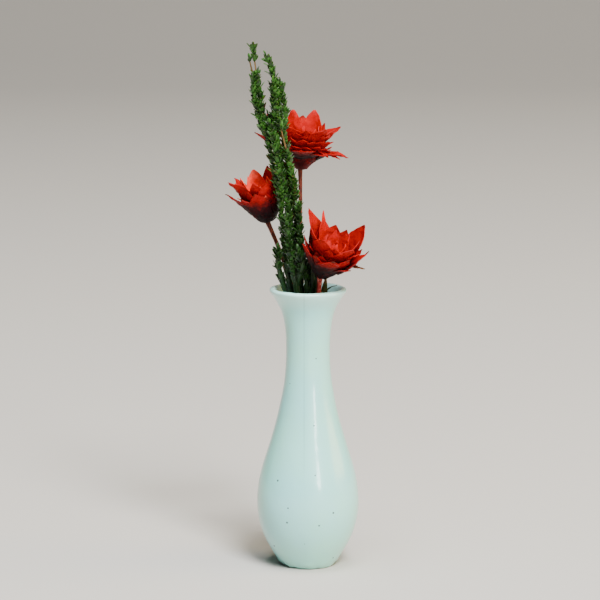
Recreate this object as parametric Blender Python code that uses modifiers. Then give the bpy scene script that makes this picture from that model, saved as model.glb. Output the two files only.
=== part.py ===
"""Dolls' house miniature: a glazed bottle vase that holds three dried red flowers and a bunch of green sprigs.

The origin is the centre of the vase's flat foot, +Z runs up the vase, +X is to its right and -Y faces forward.
Every flower and the bunch of sprigs stand loose in the vase's neck, and each lifts out along its own stem.
Sizes are written in millimetres and turned to metres by MM.
"""

import math

import bmesh
import bpy
from mathutils import Matrix, Vector

MM = 0.001

# ---- the vase -----------------------------------------------------------------------------------
VASE_HEIGHT = 40.0
FOOT_RADIUS = 3.75
BELLY_RADIUS = 7.25
NECK_RADIUS = 3.1
RIM_RADIUS = 5.35  # where the round lip begins
WALL = 0.75
FLOOR = 1.7
VASE_STEPS = 36
# (height, radius) of the outer wall, foot to lip: a low belly, a long neck and a flared mouth.
VASE_OUTLINE = [
    (0.0, FOOT_RADIUS), (1.3, 4.65), (3.5, 5.95), (6.3, 6.95), (9.6, BELLY_RADIUS), (13.6, 6.68),
    (18.2, 5.28), (22.8, 4.05), (27.0, 3.32), (31.0, NECK_RADIUS), (34.6, 3.3), (37.2, 3.95),
    (38.6, 4.75), (VASE_HEIGHT - 0.8 * WALL, RIM_RADIUS),
]

# ---- what all three flowers share ---------------------------------------------------------------
SEAT_GAP = 0.06  # clear space between two pieces that touch
STEM_RADIUS = 0.31
PETAL_THICKNESS = 0.13
PETAL_ROWS = 4
PETAL_COLUMNS = 4
PETAL_TIP = 0.06  # half the width that is left at a petal's point
CUP_STEPS = 16
# (height, radius) of the cup of dry scales that carries the petals, stem to lip, and of its hollow.
CUP_OUTLINE = [(0.0, 0.45), (0.45, 1.2), (1.2, 1.75), (2.2, 2.2), (3.1, 2.45)]
CUP_HOLLOW = [(1.7, 0.0), (1.7, 1.55), (2.4, 1.9), (3.08, 2.22)]
DISC_OUTLINE = [(1.78, 0.0), (1.78, 1.3), (2.5, 1.32), (3.1, 0.95), (3.4, 0.45), (3.5, 0.0)]
# (radius, height) where each whorl of petals leaves the cup.
WHORL_BASE = {"outer": (2.12, 1.55), "middle": (2.33, 3.24), "inner": (1.63, 2.12)}

# ---- the flowers --------------------------------------------------------------------------------
# foot and top are the stem's two ends. lean is the way that the head faces, as (x, y, z), and open
# is the angle from the head's axis at which each whorl leaves the cup.
# A petal is (whorl, azimuth, angle of its tip from the axis, length, half width). Azimuth 0 is +X
# and 90 is +Y, so 270 faces forward.
FLOWERS = {
    "flower_left": {
        "foot": (1.97, 0.42, 28.3),
        "top": (-5.65, 2.2, 49.0),
        "lean": (-0.22, 0.0, 1.0),
        "size": 1.02,
        "open": {"outer": 30, "middle": 16, "inner": 14},
        "petals": [
            ("outer", 186, 46, 4.5, 1.5), ("outer", 258, 20, 3.4, 1.7), ("outer", 330, 8, 3.9, 1.6),
            ("outer", 42, -4, 3.4, 1.5), ("outer", 114, 24, 4.2, 1.6),
            ("middle", 222, 30, 3.5, 1.4), ("middle", 294, 10, 2.7, 1.5), ("middle", 6, -12, 4.4, 1.4),
            ("middle", 78, 4, 4.6, 1.5), ("middle", 150, 26, 3.8, 1.4),
            ("inner", 200, 6, 4.8, 1.2), ("inner", 320, -14, 3.9, 1.1), ("inner", 80, -10, 5.2, 1.3),
        ],
    },
    "flower_back": {
        "foot": (-1.15, 0.55, 28.6),
        "top": (-1.1, 6.1, 56.0),
        "lean": (0.09, 0.1, 1.0),
        "size": 1.08,
        "open": {"outer": 56, "middle": 34, "inner": 16},
        "petals": [
            ("outer", 350, 106, 4.2, 1.7), ("outer", 62, 84, 4.6, 1.7), ("outer", 134, 80, 4.6, 1.7),
            ("outer", 194, 56, 5.2, 1.3), ("outer", 274, 90, 3.3, 1.8),
            ("middle", 20, 54, 4.0, 1.6), ("middle", 92, 40, 4.8, 1.6), ("middle", 164, 42, 4.6, 1.5),
            ("middle", 236, 42, 3.0, 1.6), ("middle", 308, 50, 3.2, 1.6),
            ("inner", 200, -2, 5.6, 1.3), ("inner", 315, 6, 3.4, 1.2), ("inner", 62, 0, 5.8, 1.5),
        ],
    },
    "flower_right": {
        "foot": (1.0, -0.15, 27.8),
        "top": (1.65, -3.3, 42.0),
        "lean": (0.4, -0.18, 1.0),
        "size": 1.08,
        "open": {"outer": 38, "middle": 24, "inner": 14},
        "petals": [
            ("outer", 350, 36, 5.0, 1.5), ("outer", 62, 40, 4.8, 1.7), ("outer", 134, 32, 4.9, 1.3),
            ("outer", 206, 72, 4.0, 1.5), ("outer", 278, 52, 3.2, 1.9),
            ("middle", 26, -8, 5.2, 1.8), ("middle", 98, 16, 4.6, 1.6), ("middle", 168, 36, 4.9, 1.4),
            ("middle", 240, 30, 2.9, 1.6), ("middle", 312, 26, 2.9, 1.6),
            ("inner", 165, 14, 6.0, 0.9), ("inner", 280, -8, 3.4, 1.1), ("inner", 40, -10, 4.4, 1.2),
        ],
    },
}

# A small dry leaf that hooks over beside the right flower's stem, as points of its midrib.
LEAF_PATH = [(1.87, -2.0, 36.6), (2.3, -1.8, 39.2), (2.85, -1.75, 41.0), (3.5, -1.8, 41.4)]
LEAF_RADII = [0.1, 0.26, 0.3, 0.08]

# ---- the green sprigs ---------------------------------------------------------------------------
SPRIG_FOOT = 27.0
SPRIG_STRAIGHT = 34.5  # below this height the stems stand upright, side by side
TWIG_RADIUS = 0.19
TWIG_TIP = 0.11
LEAF_START = 37.3
LEAF_FULL = 43.0  # height from which the leaves have their full size
LEAF_STEP = 0.8  # along the twig, from one leaf to the next
LEAF_TURN = 137.5  # degrees round the twig, the golden angle of most plants
LEAF_TILT = 25.0
LEAF_SIZE = (0.48, 0.2, 0.9)  # half the width, half the thickness and half the length
# Each sprig: where its stem stands in the neck, then the points that its twig passes through above,
# and then the points of each side shoot, which leaves the twig at its first point.
SPRIGS = {
    "sprig_tall_left": [
        [
            (-1.1, -0.75), (-2.5, -0.8, 40.5), (-3.4, -1.2, 47.0), (-3.9, -1.3, 52.6), (-4.8, -1.0, 57.0),
            (-5.6, -0.6, 61.2), (-6.3, -0.4, 64.6), (-6.8, -0.4, 67.8), (-7.3, -0.4, 71.0), (-7.7, -0.4, 74.2),
        ],
        [(-3.9, -1.3, 52.0), (-3.9, -1.9, 55.5), (-4.5, -1.8, 59.5), (-5.3, -1.4, 63.5)],
        [(-6.9, -0.4, 68.5), (-7.7, -0.4, 70.4), (-8.2, -0.4, 72.4)],
    ],
    "sprig_tall_right": [
        [
            (-0.25, -0.4), (-0.8, -0.3, 40.0), (-1.5, -0.1, 47.0), (-2.1, -0.1, 52.6), (-2.7, -0.3, 57.0),
            (-3.3, -0.4, 61.2), (-4.0, -0.4, 65.0), (-4.5, -0.4, 68.8), (-5.2, -0.4, 71.4), (-5.8, -0.4, 73.0),
        ],
        [(-2.05, -0.1, 52.0), (-1.9, -1.3, 54.5), (-2.6, -1.6, 58.0), (-3.6, -1.4, 62.0), (-4.6, -1.0, 66.0)],
        [(-3.5, -0.4, 62.4), (-3.2, -0.1, 64.4), (-3.6, 0.0, 66.8)],
    ],
    "sprig_middle": [
        [
            (-0.8, -0.25), (-1.6, 0.0, 40.0), (-2.5, 0.6, 47.0), (-2.7, 1.2, 52.6), (-3.6, 1.1, 57.0),
            (-4.9, 0.6, 61.0), (-5.5, 0.5, 64.4),
        ],
        [(-2.7, 1.2, 52.6), (-2.3, 1.4, 56.0), (-3.4, 1.2, 60.0)],
    ],
    "sprig_right": [
        [(-0.2, -1.1), (-0.2, -1.25, 40.0), (-0.75, -1.65, 45.0), (-1.2, -1.65, 49.2), (-1.35, -1.7, 51.9)],
        [(-0.15, -1.2, 41.0), (0.1, -0.6, 43.0), (-0.2, -0.7, 45.5)],
    ],
    "sprig_left": [
        [(-1.4, -0.3), (-3.1, -0.5, 39.6), (-4.0, -1.2, 43.0), (-4.3, -1.7, 46.0)],
    ],
    "sprig_front": [
        [(-0.7, -1.35), (-1.5, -1.9, 39.5), (-2.2, -2.2, 43.0), (-2.8, -2.4, 47.5), (-3.0, -2.4, 50.5)],
        [(-1.6, -1.95, 40.0), (-1.15, -2.6, 42.6), (-1.45, -2.8, 46.0)],
    ],
}

# (base colour, roughness) of each finish; none is metal.
FINISHES = {
    "celadon_glaze": ((0.62, 0.74, 0.71), 0.22),
    "red_petal": ((0.62, 0.02, 0.015), 0.5),
    "maroon_cup": ((0.12, 0.008, 0.01), 0.55),
    "red_floret": ((0.5, 0.03, 0.015), 0.7),
    "red_stem": ((0.26, 0.05, 0.03), 0.6),
    "green_sprig": ((0.03, 0.14, 0.04), 0.65),
    "dry_leaf": ((0.07, 0.08, 0.02), 0.65),
}


def clear_scene():
    for obj in list(bpy.data.objects):
        bpy.data.objects.remove(obj, do_unlink=True)


def new_collection(name, hidden=False):
    collection = bpy.data.collections.new(name)
    collection.hide_render = hidden
    bpy.context.scene.collection.children.link(collection)
    return collection


def finish(name):
    material = bpy.data.materials.get(name) or bpy.data.materials.new(name)
    material.use_nodes = True
    shader = material.node_tree.nodes["Principled BSDF"]
    colour, roughness = FINISHES[name]
    shader.inputs["Base Color"].default_value = (*colour, 1.0)
    shader.inputs["Roughness"].default_value = roughness
    shader.inputs["Metallic"].default_value = 0.0
    return material


def smooth_path(points, count):
    """Evenly numbered points on a Catmull-Rom curve through the given ones."""
    points = [Vector(p) for p in points]
    padded = [2 * points[0] - points[1], *points, 2 * points[-1] - points[-2]]
    spans = len(points) - 1
    found = []
    for i in range(count):
        at = i / (count - 1) * spans
        k = min(int(at), spans - 1)
        t = at - k
        a, b, c, d = padded[k:k + 4]
        found.append(0.5 * (
            2 * b + (c - a) * t + (2 * a - 5 * b + 4 * c - d) * t**2 + (3 * b - a - 3 * c + d) * t**3
        ))
    return found


def place(obj, collection, material, parent=None):
    collection.objects.link(obj)
    obj.data.materials.append(finish(material))
    obj.parent = parent
    return obj


def turned(name, outline, steps, material, collection, parent=None):
    """A body of revolution. The outline is (height, radius), and runs down the body's outer side."""
    mesh = bpy.data.meshes.new(name)
    corners = [(radius * MM, 0, height * MM) for height, radius in outline]
    mesh.from_pydata(corners, [(i, i + 1) for i in range(len(corners) - 1)], [])
    obj = place(bpy.data.objects.new(name, mesh), collection, material, parent)
    screw = obj.modifiers.new("turn", "SCREW")
    screw.axis = "Z"
    screw.steps = steps
    screw.render_steps = steps
    screw.use_merge_vertices = True
    screw.merge_threshold = 0.00001
    screw.use_smooth_shade = True
    return obj


def tube(name, points, radii, collection, material, parent=None, sides=2):
    """A round bar through the points, in millimetres, with its own radius at each point."""
    curve = bpy.data.curves.new(name, "CURVE")
    curve.dimensions = "3D"
    curve.bevel_depth = MM
    curve.bevel_resolution = sides
    curve.use_fill_caps = True
    spline = curve.splines.new("POLY")
    spline.points.add(len(points) - 1)
    for point, where, radius in zip(spline.points, points, radii):
        point.co = (*[x * MM for x in where], 1.0)
        point.radius = radius
    return place(bpy.data.objects.new(name, curve), collection, material, parent)


def empty(name, collection, where, direction, parent=None):
    """A frame whose Z points along direction, placed in the parent's own space."""
    frame = bpy.data.objects.new(name, None)
    collection.objects.link(frame)
    turn = Vector((0, 0, 1)).rotation_difference(Vector(direction))
    frame.matrix_basis = Matrix.Translation(Vector(where) * MM) @ turn.to_matrix().to_4x4()
    frame.parent = parent
    return frame


def vase_profile():
    """(height, radius) from the middle of the floor, up inside, over the round lip and down to the foot."""
    outer = smooth_path(VASE_OUTLINE, 18)
    inner = []
    for i, point in enumerate(outer):
        along = (outer[min(i + 1, len(outer) - 1)] - outer[max(i - 1, 0)]).normalized()
        shifted = point + WALL * Vector((along.y, -along.x))
        if shifted.x > FLOOR + 0.5:
            inner.append(shifted)
    middle, reach = (outer[-1] + inner[-1]) / 2, (outer[-1] - inner[-1]) / 2
    rise = Vector((reach.y, -reach.x))
    lip = [
        middle - reach * math.cos(a) + rise * math.sin(a)
        for a in (math.pi / 4, math.pi / 2, 3 * math.pi / 4)
    ]
    floor = [Vector((FLOOR, 0.0)), Vector((FLOOR, inner[0].y - 0.7))]
    foot = [Vector((0.0, 0.0))]
    return [tuple(p) for p in [*floor, *inner, *lip, *reversed(outer), *foot]]


def petal_width(along):
    """Share of a petal's greatest width, from its base at 0 to its point at 1."""
    return (1 - along) ** 0.85 * (0.62 + 1.75 * along)


def petal(name, spec, opening, size, collection, parent):
    """A pointed scale that is part of a surface turned about the flower's axis, so that whorls nest."""
    whorl, azimuth, tip_angle, length, half_width = spec
    base_radius, base_height = WHORL_BASE[whorl]
    start, bend = math.radians(opening[whorl]), math.radians(tip_angle - opening[whorl] or 0.1)
    sheet = bmesh.new()
    bmesh.ops.create_grid(sheet, x_segments=PETAL_COLUMNS, y_segments=PETAL_ROWS, size=1.0)
    for corner in sheet.verts:
        across, along = corner.co.x, (corner.co.y + 1) / 2
        angle = start + bend * along
        radius = base_radius + length / bend * (math.cos(start) - math.cos(angle))
        height = base_height + length / bend * (math.sin(angle) - math.sin(start))
        width = max(half_width * petal_width(along), PETAL_TIP)
        turn = math.radians(azimuth) + across * width / max(radius, 0.8)
        corner.co = size * MM * Vector((radius * math.cos(turn), radius * math.sin(turn), height))
    mesh = bpy.data.meshes.new(name)
    sheet.to_mesh(mesh)
    sheet.free()
    obj = place(bpy.data.objects.new(name, mesh), collection, "red_petal", parent)
    shell = obj.modifiers.new("thickness", "SOLIDIFY")
    shell.thickness = PETAL_THICKNESS * MM
    shell.offset = 0.0
    return obj


def flower(name, plan, collection):
    foot, top = Vector(plan["foot"]), Vector(plan["top"])
    size = plan["size"]
    lift = empty(f"{name}_lift", collection, foot, top - foot)
    length = (top - foot).length
    steps = 6
    tube(
        f"{name}_stem",
        [(0, 0, length * i / steps) for i in range(steps + 1)],
        [STEM_RADIUS * (0.9 + 0.2 * i / steps) for i in range(steps + 1)],
        collection, "red_stem", lift,
    )
    head = empty(f"{name}_head", collection, (0, 0, 0), plan["lean"], lift)
    lift_turn = lift.matrix_basis.to_3x3().to_4x4()
    seat = Matrix.Translation(Vector((0, 0, length + 2 * SEAT_GAP)) * MM)
    head.matrix_basis = seat @ lift_turn.inverted() @ head.matrix_basis
    cup = [*CUP_HOLLOW, *reversed(CUP_OUTLINE), (0.0, 0.0)]
    turned(f"{name}_cup", [(h * size, r * size) for h, r in cup], CUP_STEPS, "maroon_cup", collection, head)
    disc = list(reversed(DISC_OUTLINE))
    turned(f"{name}_disc", [(h * size, r * size) for h, r in disc], 12, "red_floret", collection, head)
    for number, spec in enumerate(plan["petals"], start=1):
        petal(f"{name}_petal_{number:02d}", spec, plan["open"], size, collection, head)
    return lift


def along(points, spacing):
    """Points this far apart on the smooth path through the given ones."""
    fine = smooth_path(points, 60 * len(points))
    kept = [fine[0]]
    for point in fine[1:]:
        if (point - kept[-1]).length >= spacing:
            kept.append(point)
    return kept


def leaves_on(mesh, points):
    """Flat pointed leaves up a twig, each turned by the golden angle from the last."""
    path = along(points, LEAF_STEP)
    scale = Matrix.Diagonal((MM, MM, MM, 1.0))
    for number, (here, after) in enumerate(zip(path, path[1:])):
        if here.z < LEAF_START:
            continue
        share = min(1.0, 0.55 + 0.45 * (here.z - LEAF_START) / (LEAF_FULL - LEAF_START))
        stand = (
            Matrix.Translation(here)
            @ (after - here).to_track_quat("Z", "X").to_matrix().to_4x4()
            @ Matrix.Rotation(math.radians(LEAF_TURN * number), 4, "Z")
            @ Matrix.Rotation(math.radians(LEAF_TILT), 4, "Y")
            @ Matrix.Translation((0, 0, LEAF_SIZE[2] * 0.9 * share))
            @ Matrix.Diagonal((LEAF_SIZE[1] * share, LEAF_SIZE[0] * share, LEAF_SIZE[2] * share, 1.0))
        )
        bmesh.ops.create_uvsphere(mesh, u_segments=4, v_segments=2, radius=1.0, matrix=scale @ stand)


def twig(name, points, collection):
    path = along(points, 1.9)
    if (path[-1] - Vector(points[-1])).length > 0.3:
        path.append(Vector(points[-1]))
    steps = len(path) - 1
    radii = [TWIG_RADIUS + (TWIG_TIP - TWIG_RADIUS) * i / steps for i in range(steps + 1)]
    return tube(name, path, radii, collection, "green_sprig", sides=0)


def meshed(bar, collection):
    """The curve made a mesh, with its caps welded to its sides."""
    bpy.context.view_layer.update()
    graph = bpy.context.evaluated_depsgraph_get()
    mesh = bpy.data.meshes.new_from_object(bar.evaluated_get(graph))
    welded = bmesh.new()
    welded.from_mesh(mesh)
    bmesh.ops.remove_doubles(welded, verts=welded.verts, dist=0.000001)
    welded.to_mesh(mesh)
    welded.free()
    name = bar.name
    bpy.data.objects.remove(bar, do_unlink=True)
    solid = bpy.data.objects.new(name, mesh)
    collection.objects.link(solid)
    return solid


def join(solid, other, name):
    union = solid.modifiers.new(name, "BOOLEAN")
    union.operation = "UNION"
    union.solver = "EXACT"
    union.use_self = True
    union.object = other


def sprig(name, shoots, collection, helpers):
    """One sprig: a bare stem that becomes a leafy twig, with its side shoots, all one solid."""
    x, y = shoots[0][0]
    main_points = [(x, y, SPRIG_FOOT), (x, y, SPRIG_STRAIGHT), *shoots[0][1:]]
    solid = meshed(twig(name, main_points, collection), collection)
    leaves = bmesh.new()
    leaves_on(leaves, main_points)
    for number, points in enumerate(shoots[1:], start=1):
        side = meshed(twig(f"{name}_shoot_{number}", points, helpers), helpers)
        side.hide_render = True
        side.display_type = "WIRE"
        join(solid, side, f"shoot {number}")
        leaves_on(leaves, points)
    mesh = bpy.data.meshes.new(f"{name}_leaves")
    leaves.to_mesh(mesh)
    leaves.free()
    foliage = bpy.data.objects.new(f"{name}_leaves", mesh)
    foliage.hide_render = True
    foliage.display_type = "WIRE"
    helpers.objects.link(foliage)
    join(solid, foliage, "leaves")
    return solid


def main():
    clear_scene()
    parts = new_collection("vase_with_dried_flowers")
    helpers = new_collection("helpers", hidden=True)
    turned("vase", vase_profile(), VASE_STEPS, "celadon_glaze", parts)
    for name, plan in FLOWERS.items():
        flower(name, plan, parts)
    for name, places in SPRIGS.items():
        sprig(name, places, parts, helpers)
    tube("flower_right_leaf", smooth_path(LEAF_PATH, 9), smooth_radii(LEAF_RADII, 9), parts, "dry_leaf")
    bpy.context.view_layer.update()


def smooth_radii(radii, count):
    """Radii spread evenly along a bar and read off by straight steps."""
    spans = len(radii) - 1
    found = []
    for i in range(count):
        at = i / (count - 1) * spans
        k = min(int(at), spans - 1)
        found.append(radii[k] + (radii[k + 1] - radii[k]) * (at - k))
    return found


main()
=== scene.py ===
# %% [markdown]
# # A dolls' house vase of dried flowers
#
# The object is a bottle vase about as tall as a thumb joint is long. It is slip-cast porcelain under a
# pale celadon glaze. Three dyed dried flowers and a bunch of preserved green sprigs stand loose in it.
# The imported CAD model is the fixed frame: it says where each piece is and which body it moves with.
# This script dresses that frame with finer pieces, one step at a time.

# %% Load the frame
import math
import random

import bmesh
import bpy
from mathutils import Matrix, Vector


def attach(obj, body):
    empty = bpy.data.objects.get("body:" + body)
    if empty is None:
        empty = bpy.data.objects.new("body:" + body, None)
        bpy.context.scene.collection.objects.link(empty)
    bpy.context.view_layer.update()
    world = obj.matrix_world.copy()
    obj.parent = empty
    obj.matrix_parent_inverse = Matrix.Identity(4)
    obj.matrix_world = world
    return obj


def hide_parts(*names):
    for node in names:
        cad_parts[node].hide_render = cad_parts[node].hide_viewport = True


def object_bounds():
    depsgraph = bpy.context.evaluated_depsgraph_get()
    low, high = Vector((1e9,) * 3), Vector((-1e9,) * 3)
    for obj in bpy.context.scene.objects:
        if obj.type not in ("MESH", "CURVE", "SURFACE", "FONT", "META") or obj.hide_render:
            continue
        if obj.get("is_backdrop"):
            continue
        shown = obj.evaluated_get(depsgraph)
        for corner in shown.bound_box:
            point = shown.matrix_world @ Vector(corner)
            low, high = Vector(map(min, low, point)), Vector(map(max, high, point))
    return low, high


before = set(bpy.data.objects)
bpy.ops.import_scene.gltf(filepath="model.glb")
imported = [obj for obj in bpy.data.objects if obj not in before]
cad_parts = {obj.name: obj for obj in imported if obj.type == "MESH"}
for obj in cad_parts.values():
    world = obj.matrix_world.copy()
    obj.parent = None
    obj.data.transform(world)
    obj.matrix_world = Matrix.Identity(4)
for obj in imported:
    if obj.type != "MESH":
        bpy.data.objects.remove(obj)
cad_box = [list(corner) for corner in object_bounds()]

# %% [markdown]
# Everything here is a few millimetres across, and Blender's tools are happiest near one unit. So each
# piece is modelled with one unit for a millimetre, and is brought down to metres when it is finished.
# These helpers do what the hand does all the time: let go of everything, pick some points of the piece
# that is being edited, add a modifier and apply it, and move an object's place into its mesh.

# %% Helpers for picking and applying
MM = 0.001
chance = random.Random(11)


def let_go():
    """Nothing is selected, so that the next operator touches only what comes after."""
    if bpy.context.mode != "OBJECT":
        bpy.ops.object.mode_set(mode="OBJECT")
    bpy.ops.object.select_all(action="DESELECT")


def hold(obj):
    let_go()
    obj.select_set(True)
    bpy.context.view_layer.objects.active = obj
    return obj


def pick(test):
    """Selects the points of the mesh in edit mode whose place passes the test."""
    mesh = bmesh.from_edit_mesh(bpy.context.object.data)
    for point in mesh.verts:
        point.select_set(test(point.co))
    mesh.select_flush_mode()
    bmesh.update_edit_mesh(bpy.context.object.data)


def apply(obj, kind, **settings):
    hold(obj)
    modifier = obj.modifiers.new(kind.title(), kind)
    for name, value in settings.items():
        setattr(modifier, name, value)
    bpy.ops.object.modifier_apply(modifier=modifier.name)


def settle(obj, matrix=None):
    """Moves obj by the matrix, and then its place goes into its mesh."""
    hold(obj)
    if matrix is not None:
        obj.matrix_world = matrix @ obj.matrix_world
    bpy.ops.object.transform_apply(location=True, rotation=True, scale=True)
    return obj


def copy_of(obj, name, matrix=None):
    twin = obj.copy()
    twin.data = obj.data.copy()
    twin.name = name
    bpy.context.scene.collection.objects.link(twin)
    if matrix is not None:
        twin.data.transform(matrix)
    return twin


def joined(pieces, name):
    let_go()
    for piece in pieces:
        piece.select_set(True)
    bpy.context.view_layer.objects.active = pieces[0]
    bpy.ops.object.join()
    pieces[0].name = name
    return pieces[0]


def finish_piece(obj, body, slot, *nodes):
    """Brings the piece down to metres, smooths its shading, and ties it to the frame."""
    settle(obj, Matrix.Diagonal((MM, MM, MM, 1)))
    bpy.ops.object.shade_smooth_by_angle(angle=math.radians(50))
    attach(obj, body)
    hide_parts(*nodes)
    return obj


# %% [markdown]
# Colours are written as the sRGB hex values that a paint chart gives, and Blender mixes light in linear
# values, so one function turns them. Every material is built with one small function that adds a node,
# sets it and links it.

# %% Helpers for colours and nodes
def linear(hex_colour):
    """An sRGB hex value as the linear colour that the shader wants."""
    parts = [int(hex_colour[i:i + 2], 16) / 255 for i in (1, 3, 5)]
    return (*[c / 12.92 if c <= 0.04045 else ((c + 0.055) / 1.055) ** 2.4 for c in parts], 1.0)


def blank_material(name, colour, **sockets):
    """A Principled material with its constants on the shader's own sockets."""
    material = bpy.data.materials.new(name)
    material.use_nodes = True
    shader = material.node_tree.nodes["Principled BSDF"]
    shader.inputs["Base Color"].default_value = linear(colour)
    for socket, value in sockets.items():
        shader.inputs[socket.replace("_", " ")].default_value = value
    return material, shader


def add(material, kind, inputs=None, **settings):
    """Adds a node. inputs gives each socket, by name or number, a value or another node's output."""
    node = material.node_tree.nodes.new(kind)
    for name, value in settings.items():
        setattr(node, name, value)
    for socket, value in (inputs or {}).items():
        if isinstance(value, bpy.types.NodeSocket):
            material.node_tree.links.new(value, node.inputs[socket])
        else:
            node.inputs[socket].default_value = value
    return node


def ramp(material, factor, stops):
    """A colour ramp with a hex colour at each place from 0 to 1."""
    node = add(material, "ShaderNodeValToRGB", {"Fac": factor})
    elements = node.color_ramp.elements
    while len(elements) < len(stops):
        elements.new(0.5)
    for element, (place, colour) in zip(elements, stops):
        element.position = place
        element.color = linear(colour)
    return node.outputs["Color"]


def join_to(material, output, shader, socket):
    material.node_tree.links.new(output, shader.inputs[socket])


# %% [markdown]
# ## The camera and the room
#
# The vase is seen from just above its mouth, from far enough that its sides hardly lean together. A long
# lens from less than half a metre does that. Depth of field stays off.

# %% Camera
CAMERA_DISTANCE = 0.43
CAMERA_RISE = math.radians(9.6)
LOOK_AT = Vector((-0.00113, 0.0, 0.0383))
SEEN_WIDTH = 0.0849

let_go()
back = Vector((0, -math.cos(CAMERA_RISE), math.sin(CAMERA_RISE)))
bpy.ops.object.camera_add(location=LOOK_AT + back * CAMERA_DISTANCE)
camera = bpy.context.object
camera.rotation_euler = (-back).to_track_quat("-Z", "Y").to_euler()
camera.data.lens = camera.data.sensor_width * CAMERA_DISTANCE / SEEN_WIDTH
camera.data.clip_start, camera.data.clip_end = 0.01, 20.0
camera.data.dof.use_dof = False
bpy.context.scene.camera = camera
print(f"lens {camera.data.lens:.0f} mm at {CAMERA_DISTANCE * 1000:.0f} mm")

# %% [markdown]
# The floor is one plain sheet that curves up behind like a roll of studio paper, so no horizon line
# crosses the picture. It is a plane whose far edge is extruded up, and the bend is bevelled round.

# %% Floor
let_go()
bpy.ops.mesh.primitive_plane_add(size=3.0, location=(0, 0, 0))
floor = bpy.context.object
floor.name = "floor"
bpy.ops.object.mode_set(mode="EDIT")
pick(lambda place: place.y > 1.4)
bpy.ops.mesh.extrude_region_move(TRANSFORM_OT_translate={"value": (0, 0, 2.0)})
pick(lambda place: place.y > 1.4 and place.z < 0.1)
bpy.ops.mesh.bevel(offset=0.8, segments=16, affect="EDGES")
bpy.ops.object.mode_set(mode="OBJECT")
bpy.ops.object.shade_smooth()
paper, _ = blank_material("studio_paper_matte", "#BCB9B3", Roughness=0.9)
floor.data.materials.append(paper)
floor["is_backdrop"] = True
print("floor", tuple(round(side, 2) for side in floor.dimensions))

# %% [markdown]
# A big soft light stands high at the front right, like a window, and a weaker one hangs nearly overhead.
# A small one at the right and low draws the upright streak down the belly. A warm one far to the right
# and a faint cool one to the left tint the two sides of the glaze. The room itself is pale and dim.

# %% Lights
LIGHTS = [
    # azimuth from the front, degrees to the right; elevation; distance, m; size, m; watts; colour
    ("window", 22, 47, 0.9, (0.3, 0.35), 19.5, "#FFFFFF"),
    ("streak", 27, 11.5, 0.55, (0.06, 0.15), 1.0, "#FFFFFF"),
    ("right_fill", 88, 20, 0.9, (0.5, 0.5), 5.5, "#FFD060"),
    ("left_fill", -80, 24, 0.9, (0.5, 0.5), 0.15, "#C8D0FF"),
    ("top", 0, 80, 0.9, (0.4, 0.4), 9.0, "#FFFFFF"),
]


def shine(name, azimuth, elevation, distance, size, watts, colour):
    a, e = math.radians(azimuth), math.radians(elevation)
    toward = Vector((math.sin(a) * math.cos(e), -math.cos(a) * math.cos(e), math.sin(e)))
    let_go()
    bpy.ops.object.light_add(type="AREA", location=LOOK_AT + toward * distance)
    light = bpy.context.object
    light.name = name
    light.rotation_euler = (-toward).to_track_quat("-Z", "Y").to_euler()
    light.data.shape = "RECTANGLE"
    light.data.size, light.data.size_y = size
    light.data.energy = watts
    light.data.color = linear(colour)[:3]


for light_facts in LIGHTS:
    shine(*light_facts)
room = bpy.data.worlds.new("pale_room")
room.use_nodes = True
room.node_tree.nodes["Background"].inputs["Color"].default_value = linear("#DCE0E4")
room.node_tree.nodes["Background"].inputs["Strength"].default_value = 0.06
bpy.context.scene.world = room
print(f"{len(LIGHTS)} lights")

# %% [markdown]
# ## The vase
#
# The real vase was cast in a two-part plaster mould and dipped in glaze. It could be made with a Screw
# modifier on a profile, or as a cylinder that is scaled ring by ring. Here one ring of points is
# extruded up the outside, over the lip and down the inside, and each new ring is resized to the
# profile. That keeps every ring in reach, so the mouth and the foot can be made a little uneven later.

# %% Vase profile
# (height, radius) in mm: up the outside, over the lip, and down the inside to the floor.
VASE_OUTSIDE = [
    (0.0, 3.3), (0.02, 3.7), (0.3, 4.02), (1.3, 4.68), (2.4, 5.33), (3.5, 5.97), (4.9, 6.6), (6.4, 7.04),
    (8.0, 7.26), (9.6, 7.3), (11.6, 7.12), (13.6, 6.72), (15.9, 6.05), (18.2, 5.31), (20.5, 4.64),
    (22.8, 4.07), (25.0, 3.64), (27.0, 3.35), (29.0, 3.18), (31.0, 3.11), (33.0, 3.16), (34.8, 3.33),
    (36.2, 3.62), (37.3, 4.02), (38.2, 4.52), (38.9, 5.0), (39.4, 5.33), (39.7, 5.49), (39.88, 5.44),
]
VASE_INSIDE = [
    (40.02, 5.24), (40.08, 4.96), (40.0, 4.72), (39.7, 4.5), (39.0, 4.2), (38.2, 3.74), (37.2, 3.26),
    (36.0, 2.86), (34.5, 2.57), (32.5, 2.39), (30.5, 2.34), (28.0, 2.46), (25.5, 2.8), (23.0, 3.27),
    (20.5, 3.88), (18.0, 4.62), (15.0, 5.52), (12.0, 6.22), (9.5, 6.5), (7.0, 6.25), (5.0, 5.6),
    (3.4, 4.7), (2.3, 3.3), (1.9, 1.7), (1.8, 0.7),
]
VASE_ROUND = 48

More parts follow.
